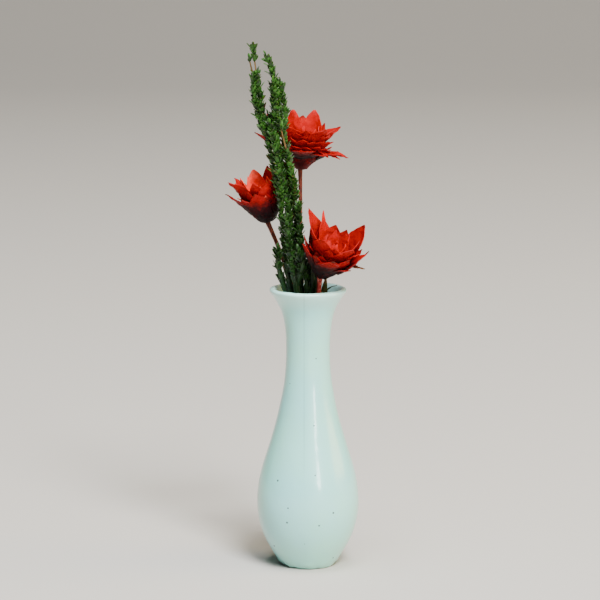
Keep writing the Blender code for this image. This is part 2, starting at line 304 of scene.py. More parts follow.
# %% Vase body
let_go()
bpy.ops.mesh.primitive_circle_add(vertices=VASE_ROUND, radius=VASE_OUTSIDE[0][1], fill_type="NGON")
vase = bpy.context.object
vase.name = "vase_glazed"
bpy.ops.object.mode_set(mode="EDIT")
bpy.ops.mesh.select_mode(type="EDGE")
bpy.ops.mesh.select_all(action="DESELECT")
bpy.ops.mesh.select_non_manifold()
was_high, was_wide = VASE_OUTSIDE[0]
for high, wide in VASE_OUTSIDE[1:] + VASE_INSIDE:
    bpy.ops.mesh.extrude_edges_move(TRANSFORM_OT_translate={"value": (0, 0, high - was_high)})
    grow = wide / was_wide
    bpy.ops.transform.resize(value=(grow, grow, 1), center_override=(0, 0, high))
    was_high, was_wide = high, wide
bpy.ops.mesh.edge_face_add()
bpy.ops.mesh.select_mode(type="VERT")
bpy.ops.mesh.select_all(action="SELECT")
bpy.ops.mesh.normals_make_consistent(inside=False)
print("rings", len(VASE_OUTSIDE) + len(VASE_INSIDE), "points", len(vase.data.vertices))

# %% [markdown]
# The halves of the mould met in a line down the front and down the back. After casting, the seam is
# scraped, and the glaze covers what is left, so only a faint ridge shows. The points of the front and
# back columns are pushed out by a few hundredths of a millimetre, which catches light as the real one
# does. Then the whole body gets the slight waviness of hand-finished clay.

# %% Mould seam and unevenness
SEAM_HEIGHT = 0.035
SEAM_LOW, SEAM_HIGH = 1.0, 39.0
INSIDE_NECK = 2.9
# what each unevenness is, its grain and depth, and the heights between which it shows, in mm
UNEVENNESS = [
    ("hand_finish", 4.5, 0.11, -1, 50), ("worn_foot", 1.7, 0.4, -1, 0.9),
    ("lip_glaze", 1.5, 0.14, 39.2, 50),
]
for side in (-1, 1):
    pick(lambda place: abs(place.x) < 0.05 and place.y * side > INSIDE_NECK
         and SEAM_LOW < place.z < SEAM_HIGH)
    bpy.ops.transform.translate(value=(0, side * SEAM_HEIGHT, 0))
bpy.ops.object.mode_set(mode="OBJECT")
apply(vase, "SUBSURF", levels=2, render_levels=2)
for texture_name, grain, strength, low, high in UNEVENNESS:
    waviness = bpy.data.textures.new(texture_name, "CLOUDS")
    waviness.noise_scale = grain
    hold(vase)
    bpy.ops.object.mode_set(mode="EDIT")
    pick(lambda place: low < place.z < high)
    bpy.ops.object.vertex_group_assign_new()
    vase.vertex_groups[-1].name = texture_name
    bpy.ops.object.mode_set(mode="OBJECT")
    apply(vase, "DISPLACE", texture=waviness, strength=strength, mid_level=0.5, texture_coords="LOCAL",
          vertex_group=texture_name)
hold(vase)
bpy.ops.object.mode_set(mode="EDIT")
pick(lambda place: place.z < 0.0)
bpy.ops.transform.resize(value=(1, 1, 0), center_override=(0, 0, 0))
bpy.ops.object.mode_set(mode="OBJECT")
print("vase", tuple(round(side, 2) for side in vase.dimensions), "mm")

# %% [markdown]
# Celadon glaze is a thin coat of glass over white porcelain, coloured blue-green by a little iron. The
# glaze is fired glossy, with tiny pits where gas escaped and dark specks of iron. The coat gives the gloss,
# and the body underneath stays softer. The colour is paler on the lip as a painted highlight, and a little
# darker at the foot and just below the lip as painted shade. The specks are cells of a Voronoi pattern, of
# which only a few are dark.

# %% Celadon glaze
SPECK_SPACING_MM = 1.9
SPECK_RADIUS_MM = 0.14
CLEAR_CELLS = 0.4
SEAM_X_MM = -0.55
SEAM_WIDTH_MM = 0.16
SEAM_FADES_MM = (12, 20)
SEAM_SHOWS = 0.24
GLAZE_CLOUD_MM = 9.0
CLOUD_SHARE = 0.35
RIPPLE_MM = 1.6

glaze, glaze_shader = blank_material(
    "celadon_glaze_fired", "#C3D8D4", Roughness=0.3, IOR=1.5,
    Coat_Weight=0.75, Coat_Roughness=0.13, Coat_IOR=1.5,
)
where = add(glaze, "ShaderNodeTexCoord").outputs["Object"]
axes = add(glaze, "ShaderNodeSeparateXYZ", {0: where}).outputs
high = axes["Z"]
tone = add(glaze, "ShaderNodeMapRange", {"Value": high, "From Min": 0.0, "From Max": 40 * MM})
# Colour up the height: the glaze's own blue-green, a little darker at the foot and just below the lip as
# painted shade, and paler on the lip as a painted highlight.
glaze_and_painted_light = ramp(glaze, tone.outputs[0], [
    (0.0, "#86C8BA"), (0.03, "#92D6CA"), (0.3, "#96E0D6"), (0.93, "#92DCD2"), (0.985, "#BCEAE0"),
])
cloud = add(glaze, "ShaderNodeTexNoise", {
    "Vector": where, "Scale": 1 / (GLAZE_CLOUD_MM * MM), "Detail": 3.0,
})
tint = ramp(glaze, cloud.outputs[0], [(0.3, "#98D0E2"), (0.7, "#A2E2C0")])
clouded = add(glaze, "ShaderNodeMix", {0: CLOUD_SHARE, 6: glaze_and_painted_light, 7: tint}, data_type="RGBA")
cells = add(glaze, "ShaderNodeTexVoronoi", {"Vector": where, "Scale": 1 / (SPECK_SPACING_MM * MM)})
near = add(glaze, "ShaderNodeMath", {0: cells.outputs["Distance"], 1: SPECK_RADIUS_MM / SPECK_SPACING_MM},
           operation="LESS_THAN")
rare = add(glaze, "ShaderNodeSeparateColor", {0: cells.outputs["Color"]})
few = add(glaze, "ShaderNodeMath", {0: rare.outputs[0], 1: CLEAR_CELLS}, operation="GREATER_THAN")
speck = add(glaze, "ShaderNodeMath", {0: near.outputs[0], 1: few.outputs[0]}, operation="MULTIPLY")
offset = add(glaze, "ShaderNodeMath", {0: axes["X"], 1: SEAM_X_MM * MM}, operation="SUBTRACT")
aside = add(glaze, "ShaderNodeMath", {0: offset.outputs[0]}, operation="ABSOLUTE")
line = add(glaze, "ShaderNodeMapRange", {
    "Value": aside.outputs[0], "From Max": SEAM_WIDTH_MM * MM, "To Min": SEAM_SHOWS, "To Max": 0.0,
})
upper = add(glaze, "ShaderNodeMapRange", {
    "Value": high, "From Min": SEAM_FADES_MM[0] * MM, "From Max": SEAM_FADES_MM[1] * MM,
})
seam = add(glaze, "ShaderNodeMath", {0: line.outputs[0], 1: upper.outputs[0]}, operation="MULTIPLY")
seamed = add(glaze, "ShaderNodeMix", {0: seam.outputs[0], 6: clouded.outputs[2], 7: linear("#5E8F88")},
             data_type="RGBA")
specked = add(glaze, "ShaderNodeMix", {0: speck.outputs[0], 6: seamed.outputs[2], 7: linear("#3E5A58")},
              data_type="RGBA")
join_to(glaze, specked.outputs[2], glaze_shader, "Base Color")
ripple = add(glaze, "ShaderNodeTexNoise", {"Vector": where, "Scale": 1 / (RIPPLE_MM * MM), "Detail": 2.0})
dents = add(glaze, "ShaderNodeMath", {0: ripple.outputs[0], 1: speck.outputs[0]}, operation="SUBTRACT")
uneven = add(glaze, "ShaderNodeBump", {"Height": dents.outputs[0], "Strength": 0.25, "Distance": 0.06 * MM})
join_to(glaze, uneven.outputs[0], glaze_shader, "Normal")
join_to(glaze, uneven.outputs[0], glaze_shader, "Coat Normal")
vase.data.materials.append(glaze)
finish_piece(vase, "vase", "celadon_glaze", "vase")
print("glaze with specks every", SPECK_SPACING_MM, "mm")

# %% [markdown]
# ## The flowers
#
# Each flower is a dried head on a straight stem. Dark scales cover the cup under the head, and three
# whorls of pointed papery petals rise from it, each whorl steeper than the one outside it. The stems,
# the heads and most petals repeat the CAD model's places. A few petals are turned, bent or cut a little
# differently, so that the heads look dried by chance. For every petal the table gives its whorl, its
# azimuth, the angle that its tip leans out, its length and half its width, all in mm and degrees.

# %% Flower layout
SEAT_GAP = 0.06
WHORL_BASE = {"outer": (2.12, 1.55), "middle": (2.33, 3.24), "inner": (1.63, 2.12)}
FLOWERS = {
    "flower_left": {
        "foot": (1.97, 0.42, 28.3), "top": (-5.65, 2.2, 49.0), "lean": (-0.22, 0.0, 1.0), "size": 1.02,
        "open": {"outer": 30, "middle": 16, "inner": 14},
        "petals": [
            ("outer", 186, 46, 4.5, 1.5), ("outer", 258, 20, 3.4, 1.7), ("outer", 330, 8, 3.9, 1.6),
            ("outer", 42, -4, 3.4, 1.5), ("outer", 114, 24, 4.2, 1.6),
            ("middle", 210, 50, 4.4, 1.5), ("middle", 294, 10, 2.5, 1.5), ("middle", 6, -12, 4.4, 1.4),
            ("middle", 60, 0, 4.2, 1.1), ("middle", 150, 26, 3.8, 1.4),
            ("inner", 200, 6, 4.8, 1.2), ("inner", 320, -14, 3.9, 1.1), ("inner", 106, -8, 5.2, 1.4),
        ],
    },
    "flower_back": {
        "foot": (-1.15, 0.55, 28.6), "top": (-1.1, 6.1, 56.0), "lean": (0.09, 0.1, 1.0), "size": 1.08,
        "open": {"outer": 56, "middle": 34, "inner": 16},
        "petals": [
            ("outer", 350, 106, 4.2, 1.7), ("outer", 62, 84, 4.6, 1.7), ("outer", 134, 80, 4.6, 1.7),
            ("outer", 194, 56, 5.2, 1.3), ("outer", 274, 90, 3.3, 1.8),
            ("middle", 20, 54, 4.0, 1.6), ("middle", 92, 40, 4.8, 1.6), ("middle", 164, 42, 4.6, 1.5),
            ("middle", 236, 42, 3.0, 1.6), ("middle", 308, 50, 3.2, 1.6),
            ("inner", 224, -8, 5.6, 1.5), ("inner", 315, 6, 3.4, 1.2), ("inner", 62, 0, 5.8, 1.5),
        ],
    },
    "flower_right": {
        "foot": (1.0, -0.15, 27.8), "top": (1.65, -3.3, 42.0), "lean": (0.4, -0.18, 1.0), "size": 1.08,
        "open": {"outer": 38, "middle": 24, "inner": 14},
        "petals": [
            ("outer", 350, 20, 5.0, 1.7), ("outer", 62, 40, 4.8, 1.7), ("outer", 134, 32, 4.9, 1.3),
            ("outer", 206, 46, 3.3, 1.1), ("outer", 278, 38, 2.9, 1.9),
            ("middle", 26, -8, 5.2, 1.8), ("middle", 98, 10, 3.3, 1.6), ("middle", 150, 46, 5.0, 2.0),
            ("middle", 240, 30, 2.9, 1.6), ("middle", 312, 26, 2.9, 1.6),
            ("inner", 140, 20, 6.0, 1.05), ("inner", 280, -8, 3.4, 1.1), ("inner", 40, -10, 4.4, 1.2),
        ],
    },
}


def head_frame(plan):
    """Where the head sits, with its own Z along the way that it faces and one unit for a millimetre."""
    foot, top = Vector(plan["foot"]), Vector(plan["top"])
    seat = top + (top - foot).normalized() * 2 * SEAT_GAP
    turn = Vector((0, 0, 1)).rotation_difference(Vector(plan["lean"]))
    return Matrix.Translation(seat) @ turn.to_matrix().to_4x4() @ Matrix.Scale(plan["size"], 4)


print(sum(len(plan["petals"]) for plan in FLOWERS.values()), "petals")

# %% [markdown]
# The petals are dried, dyed bracts: thin as paper, nearly matte, and finely ribbed along their length.
# The dye runs from dark maroon at the base to a clear red; the near-black base of the outer faces is partly
# painted shade under the head. The inner petals are a brighter red as a painted glow of light through them,
# and the left flower's, which the sprigs shade, are brighter still as painted light. The outermost points
# have dried brown. Thin petals let light through, so they get a little subsurface scattering, in which red
# travels furthest. The colour follows the petal from base to tip, so it reads the petal's own UV map, where
# V runs along it.

# %% Petal materials
RIB_COUNT = 34
WRINKLE_MM = 0.7
PATCHINESS = 0.14


def petal_material(name, stops, roughness):
    material, shader = blank_material(
        name, stops[len(stops) // 2][1], Roughness=roughness, IOR=1.45, Specular_IOR_Level=0.1,
        Subsurface_Weight=0.25, Subsurface_Scale=0.6 * MM,
    )
    shader.inputs["Subsurface Radius"].default_value = (1.0, 0.1, 0.08)
    place = add(material, "ShaderNodeTexCoord")
    uv = add(material, "ShaderNodeSeparateXYZ", {0: place.outputs["UV"]})
    patch = add(material, "ShaderNodeTexNoise", {
        "Vector": place.outputs["Object"], "Scale": 1 / (WRINKLE_MM * MM), "Detail": 4.0,
    })
    shift = add(material, "ShaderNodeMapRange", {
        "Value": patch.outputs[0], "From Min": 0.3, "From Max": 0.7,
        "To Min": -PATCHINESS, "To Max": PATCHINESS,
    })
    along = add(material, "ShaderNodeMath", {0: uv.outputs["Y"], 1: shift.outputs[0]}, operation="ADD")
    join_to(material, ramp(material, along.outputs[0], stops), shader, "Base Color")
    stretch = add(material, "ShaderNodeMapping", {"Vector": place.outputs["UV"]})
    stretch.inputs["Scale"].default_value = (RIB_COUNT, 1.6, 1.0)
    ribs = add(material, "ShaderNodeTexNoise", {
        "Vector": stretch.outputs[0], "Scale": 1.0, "Detail": 2.0,
    })
    both = add(material, "ShaderNodeMath", {0: ribs.outputs[0], 1: patch.outputs[0]}, operation="ADD")
    raised = add(material, "ShaderNodeBump", {
        "Height": both.outputs[0], "Strength": 0.55, "Distance": 0.05 * MM,
    })
    join_to(material, raised.outputs[0], shader, "Normal")
    return material


# Near black at the base, partly the dye and partly painted shade under the head, then a clear red and a
# brown tip.
PETAL_OUTSIDE = petal_material("dyed_bract_outside_painted_shade", [
    (0.0, "#120205"), (0.3, "#2A0306"), (0.54, "#620404"), (0.77, "#8A0505"), (0.92, "#840808"),
    (1.0, "#40160C"),
], 0.6)
PETAL_INSIDE = petal_material("dyed_bract_dried_inside", [
    (0.0, "#420204"), (0.3, "#740302"), (0.6, "#8E0402"), (0.85, "#980503"), (1.0, "#681008"),
], 0.6)
PETAL_UPPER = petal_material("dyed_bract_dried_upper", [
    (0.0, "#3C0204"), (0.3, "#6C0302"), (0.6, "#880402"), (0.85, "#9C0903"), (1.0, "#80100A"),
], 0.6)
# A brighter red than the inside faces, as a painted glow of light through the thin inner petals; the back
# and right flowers take it.
PETAL_GLOW_PAINTED = petal_material("dyed_bract_painted_glow", [
    (0.0, "#7A0201"), (0.3, "#900301"), (0.6, "#A00502"), (0.85, "#AE0A05"), (1.0, "#BA2020"),
], 0.6)
# Brighter still: painted light on the left flower's inner petals and florets, which the sprigs shade.
PETAL_LIGHT_PAINTED_IN_SHADE = petal_material("dyed_bract_painted_light_in_shade", [
    (0.0, "#A80804"), (0.3, "#D81408"), (0.6, "#F02C16"), (0.85, "#FA4A34"), (1.0, "#F85A48"),
], 0.6)
BRACT_BROWN = petal_material("bract_withered", [
    (0.0, "#1C0806"), (0.4, "#3A140A"), (0.7, "#4A2A12"), (1.0, "#5A3A1A"),
], 0.65)
# which copy of the painted glow each flower's inner petals and florets take
PAINTED_GLOW_BY_FLOWER = {"flower_left": PETAL_LIGHT_PAINTED_IN_SHADE, "flower_back": PETAL_GLOW_PAINTED, "flower_right": PETAL_GLOW_PAINTED}
SCALE_RED = petal_material("dyed_scale_red", [
    (0.0, "#340205"), (0.35, "#5A0305"), (0.7, "#7C0405"), (1.0, "#920605"),
], 0.6)
# Nearly black scales for the left and right cups: partly the dye and partly painted shade under the head.
SCALE_DARK = petal_material("dyed_scale_painted_shade", [
    (0.0, "#0E0204"), (0.35, "#1C0306"), (0.7, "#340408"), (1.0, "#6A0707"),
], 0.6)
print("eight petal materials")

# %% [markdown]
# A petal could be drawn point by point or cut from a leaf-shaped outline. Here it starts as a flat grid,
# because a grid bends evenly, and each row is resized to the petal's width there. The middle column is
# pulled back a little for the midrib. Four blanks are modelled once: broad, pointed, narrow and rounded.
# Every petal, scale and floret is a copy of one of them.

# %% Petal blanks
PETAL_ACROSS, PETAL_ALONG = 8, 14
RAGGED = 0.07
MIDRIB_DEPTH = 0.035
MIDRIB_END = 0.9
# half the width at each tenth of the length, base to tip, as a share of the widest place
BLANK_OUTLINES = {
    "broad": (0.62, 0.76, 0.88, 0.96, 1.0, 0.97, 0.89, 0.76, 0.56, 0.3, 0.03),
    "pointed": (0.6, 0.78, 0.92, 1.0, 0.98, 0.9, 0.78, 0.63, 0.44, 0.22, 0.02),
    "narrow": (0.55, 0.7, 0.85, 0.95, 1.0, 0.97, 0.86, 0.7, 0.48, 0.24, 0.02),
    "rounded": (0.6, 0.74, 0.86, 0.95, 1.0, 1.0, 0.96, 0.88, 0.72, 0.46, 0.1),
}


def width_at(outline, along):
    at = min(max(along, 0.0), 1.0) * (len(outline) - 1)
    low = min(int(at), len(outline) - 2)
    return outline[low] + (outline[low + 1] - outline[low]) * (at - low)


def petal_blank(name, outline):
    """A flat petal one unit long up Z and two wide, whose inner face looks to -Y."""
    let_go()
    bpy.ops.mesh.primitive_grid_add(x_subdivisions=PETAL_ACROSS, y_subdivisions=PETAL_ALONG, size=2)
    blank = bpy.context.object
    blank.name = f"{name}_petal_blank"
    settle(blank, Matrix.Diagonal((1, 0.5, 1, 1)) @ Matrix.Translation((0, 1, 0)))
    bpy.ops.object.mode_set(mode="EDIT")
    for row in range(PETAL_ALONG + 1):
        along = row / PETAL_ALONG
        pick(lambda place: abs(place.y - along) < 0.4 / PETAL_ALONG)
        ragged = width_at(outline, along) * chance.uniform(1 - RAGGED, 1 + RAGGED)
        bpy.ops.transform.resize(value=(ragged, 1, 1), center_override=(0, along, 0))
    pick(lambda place: abs(place.x) < 0.02 and place.y < MIDRIB_END)
    bpy.ops.transform.translate(value=(0, 0, -MIDRIB_DEPTH))
    bpy.ops.object.mode_set(mode="OBJECT")
    return settle(blank, Matrix.Rotation(math.radians(90), 4, "X"))


BLANKS = {name: petal_blank(name, outline) for name, outline in BLANK_OUTLINES.items()}
CRUMPLE = bpy.data.textures.new("dry_crumple", "CLOUDS")
CRUMPLE.noise_scale = 1.3
FINE_CRUMPLE = bpy.data.textures.new("dry_fine_crumple", "CLOUDS")
FINE_CRUMPLE.noise_scale = 0.45
print({name: len(blank.data.polygons) for name, blank in BLANKS.items()})

# %% [markdown]
# A copy becomes a petal in the way a florist's paper petal does: it is cut to size, cupped across, and
# curled along. Two Simple Deform bends do that, the first across its width and the second along its
# length. It is then leaned out, moved to the cup's edge and turned to its place. A cloud texture crumples
# each one differently, because the texture stays still while the petals lie in different places. Solidify
# gives it its thickness, and a second material for its outer face.

# %% Bend and place a petal
PETAL_THICKNESS = 0.1
CRUMPLE_DEPTH, FINE_CRUMPLE_DEPTH = 0.42, 0.16
CUPPING = 62.0


def bent_petal(name, shape, length, half_width, start, tip, inside, outside, cup=CUPPING, twist=0.0):
    """A cut, cupped and curled petal on the axis. It leans to +Y by start at its foot, tip at its end."""
    petal = copy_of(BLANKS[shape], name, Matrix.Diagonal((half_width, 1, length, 1)))
    petal.data.materials.append(inside)
    petal.data.materials.append(outside)
    apply(petal, "SIMPLE_DEFORM", deform_method="BEND", deform_axis="Z", angle=-math.radians(cup))
    apply(petal, "SIMPLE_DEFORM", deform_method="BEND", deform_axis="X", angle=math.radians(tip - start))
    lean = Matrix.Rotation(-math.radians(start), 4, "X")
    return settle(petal, lean @ Matrix.Rotation(math.radians(twist), 4, "Z"))


def seated(petal, radius, height, azimuth, head):
    """Moves a bent petal out to its place on the cup, and makes it a thin crumpled solid."""
    spot = Matrix.Rotation(math.radians(azimuth - 90), 4, "Z") @ Matrix.Translation((0, radius, height))
    settle(petal, head @ spot)
    apply(petal, "SUBSURF", levels=1, render_levels=1)
    for texture, depth in ((CRUMPLE, CRUMPLE_DEPTH), (FINE_CRUMPLE, FINE_CRUMPLE_DEPTH)):
        apply(petal, "DISPLACE", texture=texture, strength=depth, mid_level=0.5, texture_coords="LOCAL")
    apply(petal, "SOLIDIFY", thickness=PETAL_THICKNESS, offset=0.0,
          material_offset=1, material_offset_rim=1)
    return petal


# %% [markdown]
# A real head has many more bracts than can be told apart from outside. So behind each petal, half way to
# the next one in its whorl, stands a shorter and narrower second petal, and the two are one piece.

# %% Petals in pairs
SPREAD_LONG, SPREAD_WIDE = 1.04, 1.02
SECOND_WIDTH = 0.82
ROUNDED_FROM = 1.25


def petal_shape(whorl, half_width):
    if whorl == "middle":
        return "broad"
    return "rounded" if whorl == "inner" and half_width > ROUNDED_FROM else "pointed"


def petal_pair(name, head, start, whorl, here, after, inside, outside):
    """The petal that the plan gives, joined with a smaller one half way to the petal after it."""
    radius, height = WHORL_BASE[whorl]
    azimuth, tip, length, half_width = here
    next_azimuth, next_tip, next_length, next_half_width = after
    between = (next_azimuth - azimuth) % 360 / 2
    main = bent_petal(
        name, petal_shape(whorl, half_width), length * SPREAD_LONG, half_width * SPREAD_WIDE, start, tip,
        inside, outside, twist=chance.uniform(4, 10))
    second = bent_petal(
        "second", "pointed", (length + next_length) / 2 * chance.uniform(0.78, 0.95),
        (half_width + next_half_width) / 2 * SECOND_WIDTH, start,
        (tip + next_tip) / 2 + chance.uniform(-12, 8),
        inside, outside, twist=chance.uniform(-8, 8))
    return joined([
        seated(main, radius - 0.05, height - 0.1, azimuth, head),
        seated(second, radius - 0.3, height - 0.05, azimuth + between + chance.uniform(-6, 6), head),
    ], name)


FACES = {"outer": (PETAL_INSIDE, PETAL_OUTSIDE), "middle": (PETAL_INSIDE, PETAL_UPPER)}
for flower_name, plan in FLOWERS.items():
    head = head_frame(plan)
    for number, (whorl, *here) in enumerate(plan["petals"], start=1):
        ring = [facts for name, *facts in plan["petals"] if name == whorl]
        ring.sort(key=lambda facts: facts[0])
        after = ring[(ring.index(here) + 1) % len(ring)]
        node = f"{flower_name}_petal_{number:02d}"
        faces = FACES.get(whorl, (PAINTED_GLOW_BY_FLOWER[flower_name], PAINTED_GLOW_BY_FLOWER[flower_name]))
        pair = petal_pair(f"{node}_papery", head, plan["open"][whorl], whorl, here, after, *faces)
        finish_piece(pair, flower_name, "red_petal", node)
    print(flower_name, len(plan["petals"]), "pairs of petals")

# %% [markdown]
# The cup below the petals is made of the same papery scales, small and tightly overlapped, and nearly black
# where they meet the stem, partly from the dye and partly as painted shade under the head. A plain turned
# cup would look like wood. So a small bowl, turned ring by ring, is covered with three rings of short
# scales that follow its side. Ragged bracts stand between the scales and the petals, most of them on the
# back flower, which has opened furthest.

# %% Scales and bracts
SCALE_CUPPING, SCALE_TWIST = 70, 7
WITHERED_BELOW = 0.6
UPPER_ABOVE = 2.2
SCALE_RINGS = [
    # radius and height where they start, lean at the start and at the tip, length, half width, count
    (0.55, 0.12, 58, 12, 2.9, 0.9, 8),
    (1.2, 0.62, 44, 8, 3.0, 0.95, 9),
    (1.72, 1.15, 30, 16, 2.9, 0.9, 9),
]


def bract_row(first, step, count, *facts):
    """A row of like bracts round the cup, the first at one azimuth and the rest a step apart."""
    return [(first + step * number, *facts) for number in range(count)]


# each bract: azimuth, radius and height where it starts, lean at its start and tip, length, half width
SKIRTS = {
    "flower_left": [
        (210, 1.9, 1.5, 26, 34, 3.0, 1.0), (236, 1.9, 1.7, 22, 18, 3.4, 1.0),
        (282, 1.9, 1.6, 20, 10, 3.3, 1.0), (308, 1.9, 1.4, 22, 12, 3.0, 1.0),
    ],
    "flower_back": [
        (322, 1.9, 2.2, 74, 118, 3.0, 1.1), (343, 2.0, 2.0, 70, 122, 3.6, 1.1),
        (5, 1.9, 2.1, 66, 112, 3.4, 1.1),
        *bract_row(244, 24, 6, 1.2, 0.8, 42, 66, 3.0, 1.25),
        *bract_row(232, 24, 7, 1.75, 1.5, 40, 68, 2.8, 1.2),
        *bract_row(244, 24, 7, 2.1, 2.3, 36, 60, 2.6, 1.15),
        *bract_row(254, 21, 6, 2.35, 3.0, 28, 52, 2.3, 1.1),
        (40, 1.8, 1.5, 56, 90, 3.2, 1.2), (86, 1.8, 1.5, 50, 88, 3.4, 1.2),
        (160, 1.8, 1.5, 50, 80, 3.0, 1.1), (210, 1.8, 1.5, 44, 66, 2.4, 1.0),
    ],
    "flower_right": [
        (322, 1.8, 1.4, 40, 66, 3.0, 1.1), (8, 1.8, 1.4, 40, 58, 3.2, 1.1),
        (110, 1.8, 1.4, 36, 44, 3.0, 1.1), (250, 1.8, 1.4, 30, 36, 2.6, 1.1),
        (262, 1.9, 2.6, 30, 36, 2.9, 1.0), (290, 1.9, 2.7, 32, 40, 3.0, 1.0),
        (334, 1.9, 2.7, 32, 44, 3.4, 1.1), (350, 2.0, 1.8, 40, 84, 3.7, 0.55),
    ],
}
print({name: len(skirt) for name, skirt in SKIRTS.items()}, "bracts")

# %% [markdown]
# The bowl under the scales is turned as the vase was, from one ring that is extruded and resized. A
# sphere cut in half would need its wall added afterwards, and here the hollow comes with the rings.

# %% Cups
# (height, radius) in mm, from the stem up the outside, over the lip and down to the hollow's floor
CUP_RINGS = [(0.0, 0.3), (0.02, 0.5), (0.3, 0.98), (0.75, 1.4), (1.3, 1.76), (2.2, 2.16), (3.05, 2.38),
             (3.1, 2.2), (2.5, 1.95), (1.75, 1.5)]
CUP_SIDES = 24


def turned_bowl(name, rings, sides):
    let_go()
    bpy.ops.mesh.primitive_circle_add(
        vertices=sides, radius=rings[0][1], fill_type="NGON", location=(0, 0, rings[0][0]))
    bowl = settle(bpy.context.object)
    bowl.name = name
    bpy.ops.object.mode_set(mode="EDIT")
    bpy.ops.mesh.select_mode(type="EDGE")
    bpy.ops.mesh.select_all(action="DESELECT")
    bpy.ops.mesh.select_non_manifold()
    for (was_high, was_wide), (high, wide) in zip(rings, rings[1:]):
        bpy.ops.mesh.extrude_edges_move(TRANSFORM_OT_translate={"value": (0, 0, high - was_high)})
        bpy.ops.transform.resize(value=(wide / was_wide, wide / was_wide, 1), center_override=(0, 0, high))
    bpy.ops.mesh.edge_face_add()
    bpy.ops.mesh.select_mode(type="VERT")
    bpy.ops.mesh.select_all(action="SELECT")
    bpy.ops.mesh.normals_make_consistent(inside=False)
    bpy.ops.object.mode_set(mode="OBJECT")
    return bowl


for flower_name, plan in FLOWERS.items():
    head = head_frame(plan)
    bowl = turned_bowl(f"{flower_name}_bowl", CUP_RINGS, CUP_SIDES)
    opened = flower_name == "flower_back"
    scale_material = SCALE_RED if opened else SCALE_DARK
    bowl.data.materials.append(scale_material)
    bowl.data.materials.append(scale_material)
    settle(bowl, head)
    parts = [bowl]
    for radius, height, start, tip, length, half_width, count in SCALE_RINGS:
        offset = chance.uniform(0, 360)
        for step in range(count):
            scale = bent_petal(
                f"{flower_name}_scale", "broad", length * chance.uniform(0.9, 1.1), half_width, start,
                tip + chance.uniform(-4, 8), scale_material, scale_material,
                cup=SCALE_CUPPING, twist=SCALE_TWIST)
            parts.append(seated(scale, radius, height, offset + 360 * step / count, head))
    for azimuth, radius, height, start, tip, length, half_width in SKIRTS[flower_name]:
        inside = PETAL_INSIDE
        # low bracts take the outside colour, whose dark base is partly painted shade
        outside = PETAL_UPPER if height > UPPER_ABOVE else SCALE_RED if opened else PETAL_OUTSIDE
        if half_width < WITHERED_BELOW:
            inside = outside = BRACT_BROWN
        bract = bent_petal(
            "bract", "pointed", length * chance.uniform(0.9, 1.1), half_width, start,
            tip + chance.uniform(-6, 6), inside, outside, twist=chance.uniform(-10, 10))
        parts.append(seated(bract, radius, height, azimuth, head))
    cup = joined(parts, f"{flower_name}_cup_scales")
    finish_piece(cup, flower_name, "maroon_cup", f"{flower_name}_cup")
    print(cup.name, len(cup.data.polygons), "faces")

# %% [markdown]
# In the middle of each flower a tuft of crumpled florets fills the hollow. Each floret is a tiny petal
# rolled nearly into a tube. Modelling thousands of hairs would be slow and wouldn't show, so 26 rolled
# petals stand in a spiral at the golden angle, as seeds do in a flower head.

# %% Tufts of florets
FLORETS = 26
FLORET_LENGTH, FLORET_HALF_WIDTH, FLORET_ROLL = 2.7, 0.6, 110
TUFT_RADIUS, TUFT_HEIGHT = 1.7, 2.1
GOLDEN_ANGLE = 137.5
for flower_name, plan in FLOWERS.items():
    head = head_frame(plan)
    # the inner-petal copy with its painted glow or painted light
    pale = PAINTED_GLOW_BY_FLOWER[flower_name]
    florets = []
    for step in range(FLORETS):
        share = (step + 0.5) / FLORETS
        floret = bent_petal(
            f"{flower_name}_floret", "pointed", FLORET_LENGTH * chance.uniform(0.75, 1.25),
            FLORET_HALF_WIDTH, 2 + 24 * share, 40 * share + chance.uniform(-30, 30),
            pale, pale if step % 3 else PETAL_INSIDE, cup=FLORET_ROLL)
        away = TUFT_RADIUS * math.sqrt(share)
        florets.append(seated(floret, away, TUFT_HEIGHT, GOLDEN_ANGLE * step, head))
    tuft = joined(florets, f"{flower_name}_floret_tuft")
    finish_piece(tuft, flower_name, "red_floret", f"{flower_name}_disc")
    print(tuft.name, len(tuft.data.polygons), "faces")

# %% [markdown]
# ## The stems
#
# A stem shrinks as it dries, so it is wrinkled along its length and never quite straight. The part that
# slides in the neck follows the CAD stem closely. A bevelled curve through a few points, made a mesh,
# gives a round bar that can bend and taper, which a cylinder can't do as simply.

# %% Bars through points
CURVE_STEPS = 60


def smooth_path(points, spacing):
    """Points this far apart on a Catmull-Rom curve through the given ones."""
    points = [Vector(p) for p in points]
    padded = [2 * points[0] - points[1], *points, 2 * points[-1] - points[-2]]
    found = [points[0]]
    for a, b, c, d in zip(padded, padded[1:], padded[2:], padded[3:]):
        for step in range(1, CURVE_STEPS + 1):
            t = step / CURVE_STEPS
            bend, turn = 2 * a - 5 * b + 4 * c - d, 3 * b - a - 3 * c + d
            at = 0.5 * (2 * b + (c - a) * t + bend * t**2 + turn * t**3)
            if (at - found[-1]).length >= spacing:
                found.append(at)
    return found


def bar(name, points, radii, sides=4):
    """A round bar through the points, with its ends closed, as a mesh."""
    curve = bpy.data.curves.new(name, "CURVE")
    curve.dimensions = "3D"
    curve.bevel_depth = 1.0
    curve.bevel_resolution = sides
    curve.use_fill_caps = True
    spline = curve.splines.new("POLY")
    spline.points.add(len(points) - 1)
    for point, place, radius in zip(spline.points, points, radii):
        point.co = (*place, 1.0)
        point.radius = radius
    obj = bpy.data.objects.new(name, curve)
    bpy.context.scene.collection.objects.link(obj)
    hold(obj)
    bpy.ops.object.convert(target="MESH")
    bpy.ops.object.mode_set(mode="EDIT")
    bpy.ops.mesh.select_all(action="SELECT")
    bpy.ops.mesh.remove_doubles(threshold=0.0005)
    bpy.ops.object.mode_set(mode="OBJECT")
    return obj


